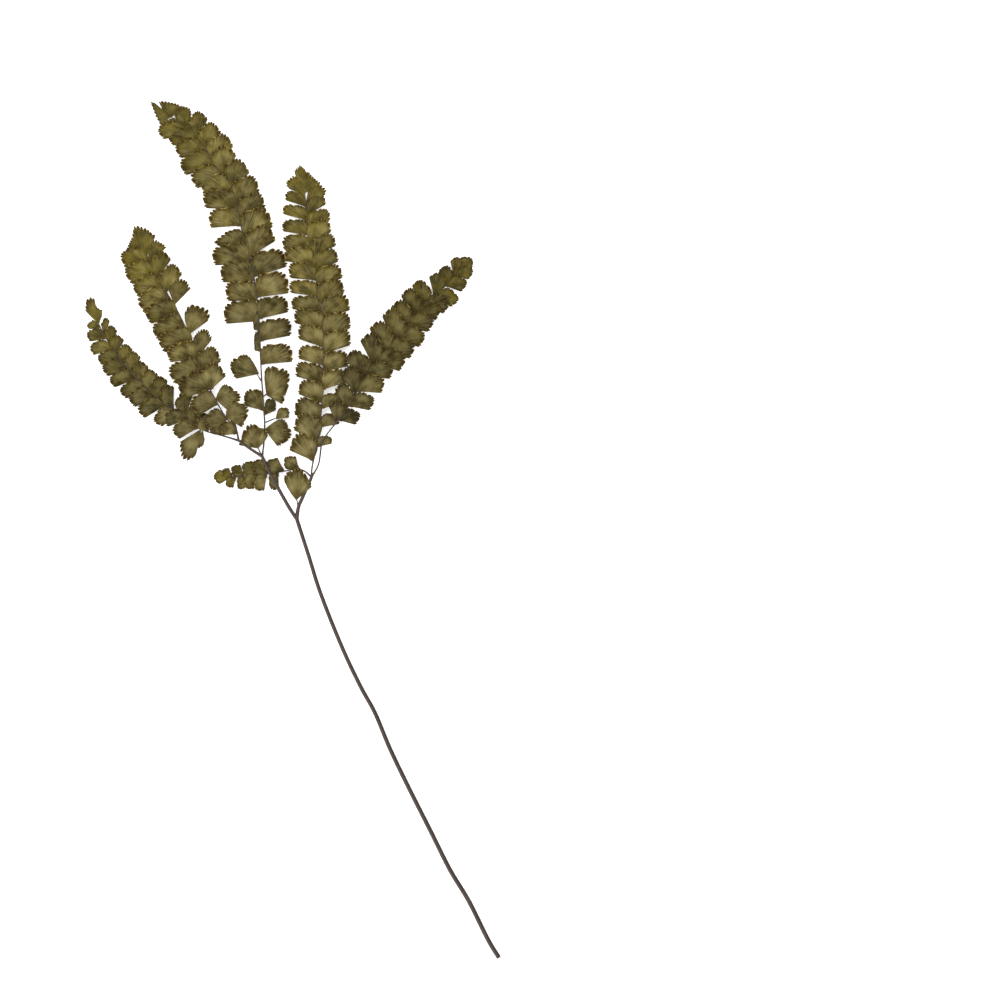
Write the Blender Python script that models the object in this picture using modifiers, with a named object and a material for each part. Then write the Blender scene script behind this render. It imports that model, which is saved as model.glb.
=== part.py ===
"""A dried maidenhair fern frond, lying flat: a dark wiry stalk that forks into two arms, and six pinnae of
toothed leaflets. +Y runs from the cut end to the tip of the tallest pinna, +Z is the side that faces up."""

import math
import random

import bmesh
import bpy
from mathutils import Vector

# Places and sizes are in millimetres, and MM turns them to metres. Routes and roots are counted from a spot
# beside the stalk's fork, and the part's origin is the middle of its footprint on the surface.
MM = 0.001
FOOTPRINT_MIDDLE = (0.425, 0.066, 0.0)

# The stalk lies on a flat of its underside near the cut end, then rises to the fork.
STALK_RADIUS = 1.3
FORK_RADIUS = 1.15
ARM_RADIUS = 0.9
TWIG_RADIUS = 0.7
STALK_SIDES_RESOLUTION = 2
STALK_SIDES = 8
STALK_FLAT = STALK_RADIUS * math.cos(math.pi / STALK_SIDES)
STALK_FLAT_GAPS = 3
STALK_STEPS = 2
STUB_SIDES_RESOLUTION = 1

# Each pinna's rachis starts this far beyond its stub on the stalk, and its next point at least this far on.
JOIN_GAP = 0.35
FIRST_STEP = 1.0
RACHIS_STEPS = 2
MEASURE_STEPS = 8
WELD = 0.000001
RACHIS_RADIUS = 0.62
RACHIS_TIP_RADIUS = 0.4
LEAFLET_TWIG_RADIUS = 0.45
TWIG_SINK = 1.5
TIP_OVERLAP = 0.8
TIP_DROP = 0.5

# Leaflets: blade thickness, notch depth as a share of the blade, and the rim points of one blade.
BLADE = 0.65
NOTCH = 0.1
RIM_POINTS = 12
RIM_START, RIM_END = math.radians(-45), math.radians(180)
RIM_POWER = 0.6
RIM_CENTRE = (0.42, 0.4)
RIM_INNER = 0.4
FIRST_NOTCH = 4
BLADE_HUB = (0.44, 0.42)
HUB_RISE = 0.35
SURFACE = 0.0

# Chance differences between one leaflet and the next, as plus or minus shares or degrees.
SIZE_SPREAD = 0.05
TURN_SPREAD = 3.5
TILT_SPREAD = 2.0
DROOP_SPREAD = 0.3
SEED = 11

# In a row, each leaflet's upper edge is tilted up, and its inner edge runs a little across the rachis.
TILT = 9.0
SEAM_LEAN = -2.0

STALK = [
    (115.9, -239.7, STALK_FLAT), (109.5, -229.0, STALK_FLAT), (99.0, -207.9, STALK_FLAT),
    (88.4, -190.3, STALK_FLAT), (77.8, -169.1, 1.4), (65.5, -144.7, 1.8), (54.9, -122.6, 2.4),
    (46.5, -102.5, 3.0), (38.4, -87.6, 3.5), (28.0, -65.5, 4.3), (16.2, -35.8, 5.4), (9.5, -14.6, 6.1),
    (2.8, 6.2, 6.6),
]
LEFT_ARM = [(2.8, 6.2, 6.6), (-1.1, 12.0, 6.7), (-6.7, 21.8, 6.9), (-12.3, 31.9, 7.0), (-16.5, 41.2, 7.0)]
LEFT_TWIG = [(-16.5, 41.2, 7.0), (-22.4, 44.9, 7.0), (-29.7, 50.0, 7.0)]
RIGHT_ARM = [(2.8, 6.2, 6.6), (3.8, 12.9, 6.8), (6.2, 18.5, 7.0), (9.2, 25.2, 7.2), (11.2, 29.7, 7.4)]
STUB = 2.6

# A pinna: the route of its rachis from the stalk, then one row of leaflets on each side. A row has its
# count, the distance of its first and last leaflet along the rachis, how much the spacing shrinks to the
# tip, how far its leaflets fall at the outer end, and profiles from base to tip of reach and height in
# millimetres and of forward lean in degrees. A tip leaflet has the turn and length of both its edges.
PINNAE = {
    "pinna_far_left": {
        "route": [
            (-29.7, 50.0, 7.0), (-39.2, 52.9, 5.4), (-44.8, 54.3, 4.2), (-51.5, 57.1, 3.0),
            (-61.0, 65.0, 1.9), (-71.1, 70.6, 1.6), (-80.6, 79.0, 1.6), (-90.7, 89.0, 1.6),
            (-99.1, 99.7, 1.5), (-104.7, 108.1, 1.3), (-108.6, 115.9, 1.2),
        ],
        "left": {"count": 12, "first": 24, "last": 104, "crowd": 0.05, "droop": 1.7, "skip": [11],
                 "reach": [13, 14, 14, 12, 8.5], "height": [10, 9.5, 9.5, 8.5, 7.5],
                 "lean": [22, 22, 20, 20, 24]},
        "right": {"count": 13, "first": 10, "last": 100, "crowd": 0.1, "droop": 1.6, "skip": [12],
                  "reach": [9, 13, 12, 10, 7.5], "height": [8, 9.5, 9.5, 8.5, 8],
                  "lean": [10, 20, 22, 22, 24]},
    },
    "pinna_left": {
        "route": [
            (-29.7, 50.0, 7.0), (-31.4, 57.1, 8.3), (-37.0, 63.3, 8.8), (-43.1, 73.9, 8.4),
            (-49.3, 86.2, 6.7), (-53.2, 99.7, 4.6), (-58.2, 110.3, 3.2), (-64.4, 123.2, 2.2),
            (-71.1, 134.4, 1.8), (-78.4, 146.7, 1.4), (-81.6, 153.9, 1.1),
        ],
        "left": {"count": 13, "first": 4, "last": 113, "crowd": 0.12, "droop": 1.3,
                 "reach": [9, 16.5, 18.5, 17.5, 14], "height": [8, 12.3, 12, 11.5, 12],
                 "lean": [0, 0, 3, 12, 12]},
        "right": {"count": 9, "first": 33, "last": 112.5, "crowd": 0.1, "droop": 1.3, "skip": [2, 3, 4, 5, 8],
                  "reach": [13, 13.5, 13.5, 14, 13], "height": [12.5, 12, 12, 11.5, 11],
                  "lean": [6, 16, 20, 20, 18]},
    },
    "pinna_tall": {
        "route": [
            (-16.5, 41.2, 7.0), (-15.7, 48.2, 5.6), (-15.3, 58.8, 3.8), (-16.0, 70.0, 2.6),
            (-17.1, 85.1, 2.0), (-17.6, 95.2, 1.8), (-18.2, 109.2, 1.7), (-19.6, 128.8, 1.7),
            (-22.1, 145.6, 1.7), (-25.8, 159.6, 1.7), (-28.6, 170.8, 1.7), (-31.9, 184.8, 1.7),
            (-35.8, 194.3, 1.6), (-42.6, 203.8, 1.6), (-48.7, 213.9, 1.6), (-55.4, 221.8, 1.5),
            (-62.2, 226.8, 1.5), (-68.5, 231.8, 1.4),
        ],
        "left": {"count": 18, "first": 26, "last": 199.5, "crowd": 0.3, "droop": 1.6,
                 "skip": [1, 2, 3, 8, 17], "reach": [12, 18.5, 19.5, 19, 17, 14],
                 "height": [12, 12.5, 12, 12, 11.5, 11], "lean": [20, -4, 6, 10, 18, 34]},
        "right": {"count": 16, "first": 52, "last": 200, "crowd": 0.34, "droop": 1.4, "skip": [15],
                  "reach": [17.5, 19, 17.5, 15.5, 14, 11.5], "height": [11.5, 13, 13, 12.5, 11.5, 10],
                  "lean": [4, 4, 10, 12, 8, 50]},
    },
    "pinna_middle": {
        "route": [
            (11.2, 29.7, 7.4), (11.5, 35.8, 7.6), (14.6, 50.4, 7.8), (16.5, 66.1, 7.5),
            (17.1, 81.2, 7.4), (17.8, 100.8, 7.4), (17.1, 116.5, 7.2), (14.6, 131.6, 6.8),
            (12.3, 148.4, 5.6), (9.5, 163.5, 3.8), (7.8, 182.0, 2.0), (6.9, 189.6, 1.5),
        ],
        "left": {"count": 17, "first": 9, "last": 160.5, "crowd": 0.2, "droop": 0.9, "skip": [16],
                 "reach": [15, 15.5, 16.5, 16.5, 15.5, 11.5], "height": [13, 11.5, 11, 10, 9, 6.5],
                 "lean": [8, 13, 13, 13, 14, 32]},
        "right": {"count": 16, "first": 17, "last": 155.5, "crowd": 0.2, "droop": 3.0, "skip": [15],
                  "reach": [9, 15, 16.5, 16.5, 14.5, 12.5], "height": [6, 10.5, 12.5, 11.5, 10, 8],
                  "lean": [22, 15, 15, 14, 14, 22]},
    },
    "pinna_right": {
        "route": [
            (11.2, 29.7, 7.4), (15.1, 37.0, 8.1), (16.8, 47.6, 9.6), (19.6, 53.2, 10.2),
            (29.7, 66.1, 10.5), (35.3, 75.0, 10.0), (40.9, 85.1, 8.9), (45.9, 93.0, 7.6),
            (52.6, 100.8, 6.2), (62.2, 113.1, 4.4), (72.6, 126.0, 2.3), (81.2, 132.7, 1.4),
            (90.2, 142.2, 1.1), (93.0, 145.2, 1.0),
        ],
        "left": {"count": 13, "first": 34, "last": 141, "crowd": 0.12, "droop": 0.2,
                 "reach": [11, 14.5, 16, 14.5, 12, 9], "height": [9.5, 11.5, 12, 11.5, 10, 8],
                 "lean": [22, 20, 20, 18, 20, 26]},
        "right": {"count": 13, "first": 36, "last": 141, "crowd": 0.12, "droop": 1.8,
                  "reach": [11, 14.5, 16, 14.5, 12, 9], "height": [9.5, 11.5, 12, 11.5, 10, 8],
                  "lean": [16, 18, 20, 18, 20, 26]},
        "tip": ((-36, 9.0), (30, 9.0)),
    },
    "pinna_low": {
        "route": [
            (11.2, 29.7, 7.4), (6.7, 33.2, 6.4), (2.2, 34.0, 5.0), (-3.0, 33.2, 3.6),
            (-10.6, 31.9, 2.2), (-20.7, 31.1, 1.5), (-30.2, 29.8, 1.3), (-36.0, 29.8, 1.2),
        ],
        "left": {"count": 5, "first": 21, "last": 45, "crowd": 0.1, "droop": 0.9,
                 "reach": [10, 10, 9, 8, 6.5], "height": [6, 6, 6, 5, 5], "lean": [4, 6, 8, 10, 14]},
        "right": {"count": 6, "first": 9, "last": 47, "crowd": 0.15, "droop": 0.5,
                  "reach": [8, 8.5, 9, 7.5, 5.5], "height": [8, 10, 8.5, 7, 5],
                  "lean": [10, 10, 10, 10, 14]},
        "tip": ((-40, 7.0), (40, 7.5)),
    },
}

# Leaflets that a row's rule doesn't place: where they root, the bearing and length of their two straight
# edges, counted from +X, and how far they fall at the outer end. One with a twig hangs on a short stalk of
# its own, which starts at that point.
LONE_LEAFLETS = {
    "stalk": [
        {"twig": (3.4, 13.6, 6.9), "root": (2.5, 16.6, 7.4), "edge": (36, 12.5), "other": (121, 16.5),
         "drop": -0.6},
        {"twig": (-17.0, 42.0, 7.0), "root": (-18.8, 45.6, 7.2), "edge": (174, 12.0), "other": (52, 12.0),
         "drop": 1.4},
    ],
    "pinna_left": [
        {"root": (-36.9, 63.1, 8.8), "edge": (-36, 11.5), "other": (78, 11.0), "drop": 0.0},
        {"root": (-42.6, 73.0, 8.4), "edge": (-46, 11.5), "other": (62, 11.5), "drop": 0.0},
    ],
    "pinna_tall": [
        {"twig": (-16.3, 74.6, 2.3), "root": (-14.4, 75.4, 2.2), "edge": (-36, 11.5), "other": (93, 18.0),
         "drop": 0.5},
        {"twig": (-17.1, 83.2, 2.0), "root": (-18.4, 87.4, 2.0), "edge": (194, 14.0), "other": (120, 14.0),
         "drop": 1.0},
        {"root": (-17.6, 99.8, 1.8), "edge": (178, 3.6), "other": (92, 12.0), "drop": 0.2},
        {"root": (-18.1, 111.5, 1.7), "edge": (178, 3.6), "other": (93, 12.0), "drop": 0.2},
        {"root": (-15.3, 56.4, 4.2), "edge": (-56, 12.5), "other": (34, 12.5), "drop": 1.6},
        {"twig": (-15.5, 60.0, 3.7), "root": (-9.0, 62.0, 3.6), "edge": (4, 7.5), "other": (78, 7.0),
         "drop": 0.6},
        {"root": (-15.7, 64.0, 3.2), "edge": (22, 7.5), "other": (84, 9.5), "drop": 0.6},
    ],
}

# Leaflets whose outlines are picked by hand, point by point: those at the tips, and some that are folded or
# stand apart. Each roots at a distance along its rachis, and its rim runs from its lower straight edge
# round to the upper one, falling by its drop and rising again by its lift.
DRAWN_LEAFLETS = {
    "pinna_far_left": [
        {"station": 22.4, "drop": 1.6, "lift": 0.3, "rim": [
            (-53.5, 45.9), (-53.6, 43.1), (-54.6, 40.6), (-58.7, 38.6), (-62.2, 39.8),
            (-62.7, 43.2), (-63.2, 47.0), (-62.9, 49.3), (-59.4, 50.1), (-56.6, 52.1),
        ]},
        {"station": 21.8, "drop": 1.3, "lift": 0.5, "rim": [
            (-54.3, 47.0), (-52.1, 45.4), (-49.8, 47.0), (-48.9, 50.4), (-49.9, 53.4),
        ]},
        {"station": 106.0, "drop": 0.3, "lift": 0.0, "rim": [
            (-114.0, 120.8), (-116.3, 123.5), (-115.8, 126.6), (-115.8, 129.1), (-114.2, 129.9),
            (-113.0, 130.8), (-110.9, 129.8), (-110.2, 126.0), (-108.5, 124.2), (-106.5, 123.5),
            (-106.6, 120.1),
        ]},
        {"station": 104.0, "drop": 0.4, "lift": 0.6, "rim": [
            (-110.9, 112.8), (-114.0, 112.8), (-115.4, 114.2), (-114.5, 116.2), (-113.1, 116.8),
            (-111.9, 117.8), (-110.0, 116.8), (-108.6, 115.1),
        ]},
        {"station": 100.0, "drop": 0.4, "lift": 0.6, "rim": [
            (-103.2, 114.2), (-102.1, 117.6), (-103.3, 118.9), (-104.7, 119.3), (-106.0, 118.3),
            (-106.1, 116.8), (-107.2, 115.6),
        ]},
    ],
    "pinna_left": [
        {"station": 85.5, "drop": 1.2, "lift": 1.6, "rim": [
            (-56.7, 135.4), (-57.8, 137.5), (-58.8, 139.7), (-61.0, 140.8), (-63.8, 141.4),
            (-66.6, 140.3), (-68.6, 137.8), (-69.2, 134.4),
        ]},
        {"station": 67.0, "drop": 1.2, "lift": 1.2, "rim": [
            (-51.4, 115.9), (-49.6, 116.1), (-47.4, 116.9), (-45.8, 119.6), (-46.5, 123.6),
            (-49.3, 124.9), (-52.1, 125.6), (-55.2, 126.6), (-57.4, 126.4), (-59.5, 124.0),
            (-60.3, 121.2), (-59.9, 117.6),
        ]},
        {"station": 53.5, "drop": 1.2, "lift": 1.2, "rim": [
            (-45.2, 106.1), (-44.7, 108.6), (-45.9, 109.9), (-46.6, 112.2), (-49.6, 113.0),
            (-52.1, 112.0), (-53.5, 110.3), (-55.0, 108.1), (-55.2, 105.3),
        ]},
        {"station": 117.0, "drop": 0.3, "lift": 0.0, "rim": [
            (-90.4, 162.7), (-89.6, 166.9), (-88.8, 170.5), (-86.2, 170.8), (-81.0, 168.9),
            (-79.5, 167.2), (-76.6, 165.4), (-77.5, 162.7),
        ]},
        {"station": 116.4, "drop": 0.4, "lift": 0.4, "rim": [
            (-89.9, 156.2), (-93.7, 156.6), (-92.2, 159.9), (-90.9, 162.5), (-88.5, 162.7),
            (-85.7, 161.6),
        ]},
        {"station": 114.0, "drop": 0.4, "lift": 0.8, "rim": [
            (-74.8, 154.6), (-72.5, 156.4), (-70.4, 158.6), (-71.5, 160.0), (-73.9, 161.5),
            (-76.0, 162.8), (-78.1, 162.4), (-80.1, 160.7), (-81.0, 157.9),
        ]},
    ],
    "pinna_tall": [
        {"station": 121.5, "drop": 1.0, "lift": 1.2, "rim": [
            (-35.3, 158.9), (-41.7, 159.3), (-44.0, 160.7), (-43.5, 162.4), (-41.3, 164.1),
            (-39.5, 165.4), (-37.2, 167.4), (-34.2, 168.1), (-31.4, 169.1), (-28.8, 168.4),
            (-27.2, 166.0),
        ]},
        {"station": 196.6, "drop": 0.7, "lift": 0.8, "rim": [
            (-69.7, 221.2), (-72.2, 221.6), (-74.2, 223.7), (-75.2, 225.7), (-73.9, 227.1),
            (-72.0, 228.8), (-69.2, 230.4), (-66.1, 231.0),
        ]},
        {"station": 205.5, "drop": 0.45, "lift": 0.35, "rim": [
            (-73.8, 226.9), (-76.6, 231.6), (-78.2, 236.3), (-79.9, 240.4), (-77.4, 239.6),
            (-75.0, 237.4), (-72.8, 234.4), (-70.3, 232.7),
        ]},
        {"station": 205.0, "drop": 0.2, "lift": 0.3, "rim": [
            (-72.0, 233.8), (-73.5, 237.4), (-75.0, 240.2), (-72.2, 240.6), (-69.0, 240.0),
            (-66.6, 239.4), (-63.6, 238.7), (-62.2, 235.8),
        ]},
        {"station": 199.0, "drop": 0.4, "lift": 1.0, "rim": [
            (-56.8, 230.4), (-56.4, 233.8), (-56.8, 236.0), (-58.1, 237.0), (-60.5, 237.3),
            (-62.6, 237.0), (-65.0, 235.2), (-66.1, 232.4),
        ]},
    ],
    "pinna_middle": [
        {"station": 161.0, "drop": 0.2, "lift": 0.2, "rim": [
            (3.0, 197.5), (1.5, 199.6), (1.2, 201.8), (2.7, 203.4), (4.3, 204.8), (5.9, 203.6),
            (7.2, 202.4), (8.0, 200.5),
        ]},
        {"station": 160.4, "drop": 0.4, "lift": 0.4, "rim": [
            (11.5, 193.0), (14.0, 193.8), (16.4, 194.5), (13.2, 196.8), (10.8, 199.2), (9.3, 201.2),
            (7.8, 200.2),
        ]},
        {"station": 159.0, "drop": 0.4, "lift": 0.4, "rim": [
            (2.2, 190.0), (-1.9, 191.4), (-3.4, 193.0), (-3.6, 195.2), (-1.7, 197.1), (0.3, 198.8),
            (2.0, 198.2), (3.6, 196.6), (6.2, 193.8),
        ]},
        {"station": 155.0, "drop": 0.6, "lift": 0.6, "rim": [
            (12.9, 184.8), (17.0, 186.1), (18.6, 188.0), (19.6, 190.8), (16.0, 193.9), (13.4, 193.5),
            (10.9, 192.2), (9.0, 190.4),
        ]},
    ],
}

STEM_COLOUR = (0.035, 0.022, 0.018, 1)
LEAF_COLOUR = (0.135, 0.115, 0.035, 1)
STEM_ROUGHNESS = 0.35
LEAF_ROUGHNESS = 0.6


def clear_scene():
    for thing in list(bpy.data.objects):
        bpy.data.objects.remove(thing, do_unlink=True)


def new_collection(name):
    group = bpy.data.collections.new(name)
    bpy.context.scene.collection.children.link(group)
    return group


def make_material(name, colour, roughness):
    finish = bpy.data.materials.new(name)
    finish.use_nodes = True
    shader = finish.node_tree.nodes["Principled BSDF"]
    shader.inputs["Base Color"].default_value = colour
    shader.inputs["Roughness"].default_value = roughness
    return finish


def placed(point):
    """A hand-picked point, counted from the part's origin."""
    return Vector(point) - Vector(FOOTPRINT_MIDDLE)


def smooth_route(points, steps):
    """A smooth curve through the hand-picked points, with this many steps from each point to the next."""
    points = [placed(point) for point in points]
    padded = [2 * points[0] - points[1], *points, 2 * points[-1] - points[-2]]
    route = []
    for before, start, end, after in zip(padded, padded[1:], padded[2:], padded[3:]):
        for step in range(steps):
            t = step / steps
            linear = (end - before) * t
            square = (2 * before - 5 * start + 4 * end - after) * t**2
            cube = (3 * start - before - 3 * end + after) * t**3
            route.append((2 * start + linear + square + cube) / 2)
    route.append(points[-1])
    return route


def walk(route, distance):
    """The point at this distance along the route, and the direction there."""
    for start, end in zip(route, route[1:]):
        length = (end - start).length
        if distance <= length:
            break
        distance -= length
    return start.lerp(end, distance / length), (end - start).normalized()


def length_of(route):
    return sum((end - start).length for start, end in zip(route, route[1:]))


def make_stem(name, route, radius, end_radius, resolution, even=0):
    """A round stem along the route, closed, with a flat side down. It tapers past its even points."""
    curve = bpy.data.curves.new(name, "CURVE")
    curve.dimensions = "3D"
    curve.twist_mode = "Z_UP"
    curve.bevel_depth = MM
    curve.bevel_resolution = resolution
    curve.use_fill_caps = True
    spline = curve.splines.new("POLY")
    spline.points.add(len(route) - 1)
    sides = 4 + 2 * resolution  # the curve's bevel has this many sides
    for index, (point, place) in enumerate(zip(spline.points, route)):
        point.co = (*(place * MM), 1)
        taper = max(0, index - even) / (len(route) - 1 - even)
        point.radius = radius + (end_radius - radius) * taper
        point.tilt = math.pi / sides
    draft = bpy.data.objects.new(name + "_curve", curve)
    bpy.context.scene.collection.objects.link(draft)
    graph = bpy.context.evaluated_depsgraph_get()
    mesh = bpy.data.meshes.new_from_object(draft.evaluated_get(graph))
    bpy.data.objects.remove(draft)
    welded = bmesh.new()
    welded.from_mesh(mesh)
    bmesh.ops.remove_doubles(welded, verts=welded.verts, dist=WELD)
    bmesh.ops.triangulate(welded, faces=welded.faces)
    bmesh.ops.recalc_face_normals(welded, faces=welded.faces)
    welded.to_mesh(mesh)
    welded.free()
    return bpy.data.objects.new(name, mesh)


def rim_place(index):
    """Rim point of a leaflet in shares of its two edges: the root, then round the toothed outer edge."""
    if index == 0:
        return 0.0, 0.0
    turn = RIM_START + (RIM_END - RIM_START) * (index - 1) / (RIM_POINTS - 2)
    share = 1 - NOTCH if index % 2 == 0 and FIRST_NOTCH <= index < RIM_POINTS - 1 else 1
    across = share * math.copysign(abs(math.cos(turn)) ** RIM_POWER, math.cos(turn))
    up = share * math.copysign(abs(math.sin(turn)) ** RIM_POWER, math.sin(turn))
    outer = 1 - RIM_CENTRE[0] if across > 0 else RIM_INNER
    upper = 1 - RIM_CENTRE[1] if up > 0 else RIM_CENTRE[1]
    return RIM_CENTRE[0] + outer * across, RIM_CENTRE[1] + upper * up


def leaf_blade(name, rim, hub):
    """One thick leaflet from the points round it, the root first, and the raised point in its middle."""
    surface = bmesh.new()
    bmesh.ops.create_circle(surface, cap_ends=True, cap_tris=True, radius=1, segments=RIM_POINTS)
    for vertex in surface.verts:
        place = hub + Vector((0, 0, HUB_RISE))
        if len(vertex.link_faces) == 2:
            turn = math.atan2(vertex.co.y, vertex.co.x) / math.tau
            place = rim[round(turn * RIM_POINTS) % RIM_POINTS]
        vertex.co = Vector((place.x, place.y, max(place.z, SURFACE))) * MM
    bmesh.ops.recalc_face_normals(surface, faces=surface.faces)
    if sum(face.normal.z for face in surface.faces) < 0:
        bmesh.ops.reverse_faces(surface, faces=surface.faces)
    mesh = bpy.data.meshes.new(name)
    surface.to_mesh(mesh)
    surface.free()
    leaflet = bpy.data.objects.new(name, mesh)
    thick = leaflet.modifiers.new("thickness", "SOLIDIFY")
    thick.thickness = BLADE * MM
    thick.offset = 1.0
    return leaflet


def make_leaflet(name, root, edge, other, tilt, drop):
    """A fan leaflet from its root: edge and other are its straight edges as vectors. Whatever the angle
    between them, its far corner lies as far out as if they met at a right angle."""
    crown = math.hypot(edge.length, other.length) - (edge + other).length
    crown = (edge.normalized() + other.normalized()).normalized() * crown

    def spot(across, up):
        height = up * other.length * math.tan(tilt) - drop * across**2
        return root + edge * across + other * up + crown * across * up + Vector((0, 0, height))

    return leaf_blade(name, [spot(*rim_place(index)) for index in range(RIM_POINTS)], spot(*BLADE_HUB))


def drawn_leaflet(name, route, drawn):
    """A leaflet with a rim picked by hand, that roots on this rachis."""
    root = walk(route, drawn["station"])[0]
    rim = [placed((*point, 0)) for point in drawn["rim"]]
    places = [root]
    for index in range(1, RIM_POINTS):
        share = (index - 1) / (RIM_POINTS - 2)
        place = walk(rim, length_of(rim) * share)[0]
        place.z = root.z - drawn["drop"] + drawn["lift"] * share
        notched = index % 2 == 0 and FIRST_NOTCH <= index < RIM_POINTS - 1
        places.append(place.lerp(root, NOTCH if notched else 0))
    return leaf_blade(name, places, root.lerp(places[RIM_POINTS // 2], 0.5))


def profile(values, share):
    """A value between evenly spaced ones, at this share of the way from the first to the last."""
    place = share * (len(values) - 1)
    low = min(int(place), len(values) - 2)
    return values[low] + (values[low + 1] - values[low]) * (place - low)


def bearing(degrees, length):
    angle = math.radians(degrees)
    return Vector((math.cos(angle), math.sin(angle), 0)) * length


def row_leaflets(name, route, row, side, chance):
    """The leaflets on one side of a rachis: side is 1 on the left of its direction and -1 on the right."""
    leaflets = []
    for index in range(row["count"]):
        share = index / (row["count"] - 1)
        spread = [chance.uniform(-1, 1) for _ in range(5)]
        if index in row.get("skip", ()):
            continue
        station = row["first"] + (row["last"] - row["first"]) * share * (1 + row["crowd"] * (1 - share))
        root, ahead = walk(route, station)
        heading = math.degrees(math.atan2(ahead.y, ahead.x))
        lean = profile(row["lean"], share) + TURN_SPREAD * spread[0]
        reach = profile(row["reach"], share) * (1 + SIZE_SPREAD * spread[1])
        edge = bearing(heading + side * (90 - lean), reach)
        height = profile(row["height"], share) * (1 + SIZE_SPREAD * spread[2])
        other = bearing(heading + side * SEAM_LEAN, height)
        tilt = math.radians(TILT + TILT_SPREAD * spread[3])
        drop = row["droop"] * (1 + DROOP_SPREAD * spread[4])
        leaflets.append(make_leaflet(f"{name}_{index}", root, edge, other, tilt, drop))
    return leaflets


def tip_leaflet(name, route, tip):
    """The leaflet at the end of a rachis. Its two straight edges are turns from the rachis, and lengths."""
    (right_turn, right_length), (left_turn, left_length) = tip
    root, ahead = walk(route, length_of(route) - TIP_OVERLAP)
    heading = math.degrees(math.atan2(ahead.y, ahead.x))
    edge = bearing(heading + right_turn, right_length)
    other = bearing(heading + left_turn, left_length)
    return make_leaflet(name + "_tip", root, edge, other, 0.0, TIP_DROP)


def lone_leaflets(name):
    """The named leaflets of a body, with the short stalks that some of them hang on."""
    pieces = []
    for index, lone in enumerate(LONE_LEAFLETS.get(name, ())):
        root, edge, other = placed(lone["root"]), bearing(*lone["edge"]), bearing(*lone["other"])
        pieces.append(make_leaflet(f"{name}_lone_{index}", root, edge, other, 0.0, lone["drop"]))
        if "twig" in lone:
            start = placed(lone["twig"])
            inside = root + (edge + other).normalized() * TWIG_SINK + Vector((0, 0, BLADE / 2))
            pieces.append(make_stem(f"{name}_twig_{index}", [start, start.lerp(inside, 0.5), inside],
                                    LEAFLET_TWIG_RADIUS, LEAFLET_TWIG_RADIUS, 0))
    return pieces


def unite(body, others):
    """Joins the others to the body in one closed solid, and removes them."""
    group = new_collection(body.name + "_parts")
    for piece in others:
        group.objects.link(piece)
    join = body.modifiers.new("join", "BOOLEAN")
    join.operation = "UNION"
    join.operand_type = "COLLECTION"
    join.collection = group
    join.solver = "MANIFOLD"
    bpy.context.view_layer.update()
    graph = bpy.context.evaluated_depsgraph_get()
    joined = bpy.data.meshes.new_from_object(body.evaluated_get(graph))
    body.modifiers.clear()
    body.data = joined
    for piece in others:
        bpy.data.objects.remove(piece)
    bpy.data.collections.remove(group)


def make_stalk(frond, stem_finish):
    route = smooth_route(STALK, STALK_STEPS)
    for point in route:
        point.z = max(point.z, STALK_FLAT)
    even = STALK_STEPS * STALK_FLAT_GAPS
    body = make_stem("stalk", route, STALK_RADIUS, FORK_RADIUS, STALK_SIDES_RESOLUTION, even)
    frond.objects.link(body)
    others = []
    for name, points, radius, end_radius in (
        ("left_arm", LEFT_ARM, FORK_RADIUS, ARM_RADIUS),
        ("right_arm", RIGHT_ARM, FORK_RADIUS, ARM_RADIUS),
        ("left_twig", LEFT_TWIG, ARM_RADIUS, TWIG_RADIUS),
    ):
        route = smooth_route(points, STALK_STEPS)
        others.append(make_stem(name, route, radius, end_radius, STALK_SIDES_RESOLUTION))
    for name, pinna in PINNAE.items():
        route = smooth_route(pinna["route"], MEASURE_STEPS)
        stub = [walk(route, STUB * share)[0] for share in (0, 0.5, 1)]
        others.append(make_stem(name + "_stub", stub, TWIG_RADIUS, RACHIS_RADIUS, STUB_SIDES_RESOLUTION))
    unite(body, others + lone_leaflets("stalk"))
    body.data.materials.clear()
    body.data.materials.append(stem_finish)


def make_pinna(name, pinna, frond, leaf_finish, chance):
    route = smooth_route(pinna["route"], MEASURE_STEPS)
    rachis = [walk(route, STUB + JOIN_GAP)[0]]
    gone = 0.0
    for index in range(1, len(route)):
        gone += (route[index] - route[index - 1]).length
        if index % (MEASURE_STEPS // RACHIS_STEPS) == 0 and gone > STUB + JOIN_GAP + FIRST_STEP:
            rachis.append(route[index])
    body = make_stem(name, rachis, RACHIS_RADIUS, RACHIS_TIP_RADIUS, STUB_SIDES_RESOLUTION)
    frond.objects.link(body)
    leaflets = row_leaflets(name + "_left", route, pinna["left"], 1, chance)
    leaflets += row_leaflets(name + "_right", route, pinna["right"], -1, chance)
    if "tip" in pinna:
        leaflets.append(tip_leaflet(name, route, pinna["tip"]))
    for index, drawn in enumerate(DRAWN_LEAFLETS.get(name, ())):
        leaflets.append(drawn_leaflet(f"{name}_drawn_{index}", route, drawn))
    leaflets += lone_leaflets(name)
    unite(body, leaflets)
    body.data.materials.clear()
    body.data.materials.append(leaf_finish)


def main():
    clear_scene()
    frond = new_collection("fern_frond")
    stem_finish = make_material("dark_stem", STEM_COLOUR, STEM_ROUGHNESS)
    leaf_finish = make_material("dried_leaf", LEAF_COLOUR, LEAF_ROUGHNESS)
    make_stalk(frond, stem_finish)
    for seed, (name, pinna) in enumerate(PINNAE.items()):
        make_pinna(name, pinna, frond, leaf_finish, random.Random(seed + SEED))


main()
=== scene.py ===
"""A dried maidenhair fern frond lying flat on a pale surface: its wiry stipe, the thin rachises that branch
from it, and the toothed fan leaflets along each of them. Lengths of the plant are in millimetres, and those
of the camera, the card and the lamp in metres."""

import math
import random

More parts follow.
